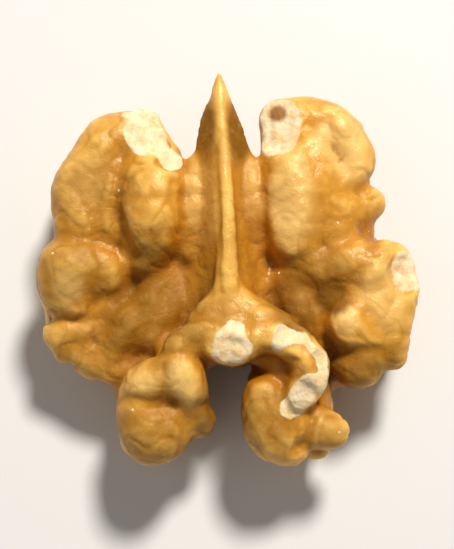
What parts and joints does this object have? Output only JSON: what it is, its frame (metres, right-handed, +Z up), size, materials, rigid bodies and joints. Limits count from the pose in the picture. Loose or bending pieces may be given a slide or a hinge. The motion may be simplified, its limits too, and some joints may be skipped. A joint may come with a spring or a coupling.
{
  "type": "walnut kernel",
  "caption": "Shelled walnut kernel half: two lobed, folded halves joined by a bridge, a sharp septum blade with a tip, and a grooved, rounded back it rests on.",
  "frame": {"origin": "centre of the bounding box on the plane that the rounded back rests on", "axes": "+Y towards the sharp tip of the blade, along the seam of the kernel; +Z up, out of the inner face; +X to the right when looking at the inner face with the tip away from the viewer"},
  "size_m": [0.0306, 0.031, 0.0113],
  "materials": {
    "skin": null
  },
  "bodies": {
    "root": {"kernel": "skin"}
  },
  "joints": []
}
